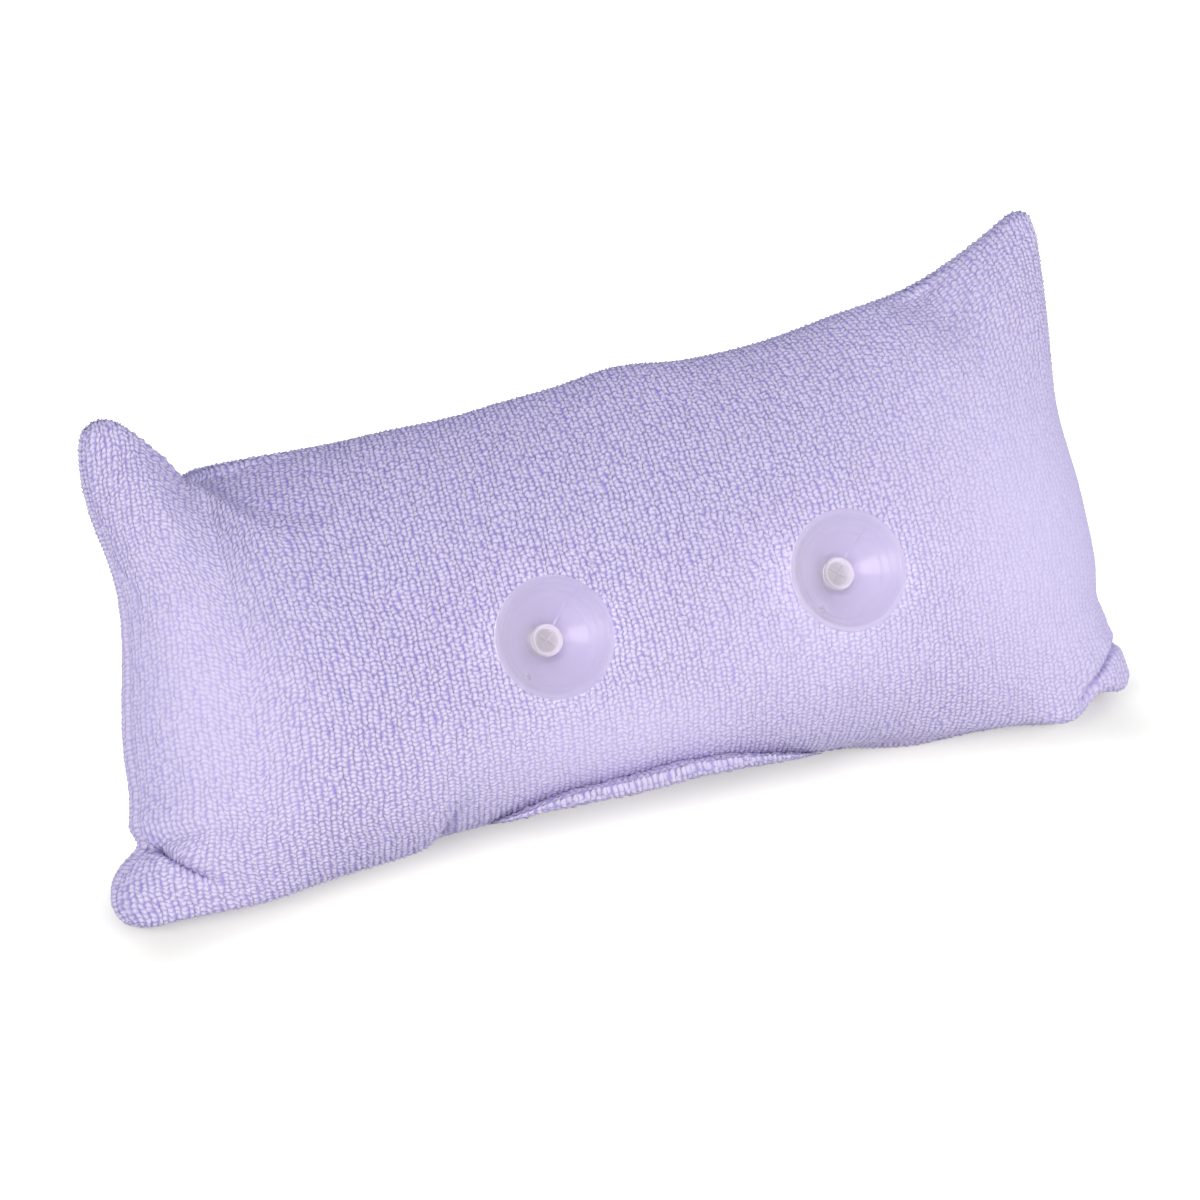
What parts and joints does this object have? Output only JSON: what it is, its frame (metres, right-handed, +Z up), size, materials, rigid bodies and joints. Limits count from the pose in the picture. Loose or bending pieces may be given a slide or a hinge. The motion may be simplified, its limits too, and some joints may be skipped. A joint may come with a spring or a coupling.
{
  "type": "bath pillow",
  "caption": "Stuffed terry bath pillow that stands leaning back on its settled lower side, with clear suction cups buttoned through its rear panel.",
  "frame": {"origin": "middle of the bounding box's bottom, on the surface that the pillow stands on", "axes": "+X along the pillow's length, -Y the side with the suction cups, +Z up"},
  "size_m": [0.3544, 0.1166, 0.1407],
  "materials": {
    "terry": "lilac loop terry",
    "thread": "lilac polyester sewing thread",
    "fibre": "loose white polyester fibre",
    "interfacing": "white fused interfacing",
    "clear_vinyl": "clear soft vinyl, glossy",
    "white_plastic": "white moulded plastic"
  },
  "bodies": {
    "pillow": {"rear_cover_panel": "terry", "front_cover_panel": "terry", "fibre_filling": "fibre", "seam_thread": "thread", "closing_thread": "thread", "left_buttonhole_patch": "interfacing", "right_buttonhole_patch": "interfacing", "left_buttonhole_stitching": "thread", "right_buttonhole_stitching": "thread"},
    "left_washer": {"left_cup_washer": "white_plastic"},
    "left_cup": {"left_suction_cup": "clear_vinyl"},
    "right_washer": {"right_cup_washer": "white_plastic"},
    "right_cup": {"right_suction_cup": "clear_vinyl"}
  },
  "joints": [
    {"name": "left_cup_rock", "type": "hinge", "parent": "pillow", "child": "left_washer", "pos_m": [-0.03245, -0.03284, 0.07457], "axis": [0.9998, -0.014, 0.011], "range_deg": [-8, 8], "stiffness_Nm_per_rad": 0.03},
    {"name": "left_cup_swivel", "type": "hinge", "parent": "left_washer", "child": "left_cup", "pos_m": [-0.03245, -0.03284, 0.07457], "axis": [-0.0178, -0.7865, 0.6173], "continuous": true},
    {"name": "right_cup_rock", "type": "hinge", "parent": "pillow", "child": "right_washer", "pos_m": [0.06845, -0.03231, 0.07422], "axis": [0.999, 0.0359, -0.0281], "range_deg": [-8, 8], "stiffness_Nm_per_rad": 0.03},
    {"name": "right_cup_swivel", "type": "hinge", "parent": "right_washer", "child": "right_cup", "pos_m": [0.06845, -0.03231, 0.07422], "axis": [0.0456, -0.7872, 0.615], "continuous": true}
  ]
}
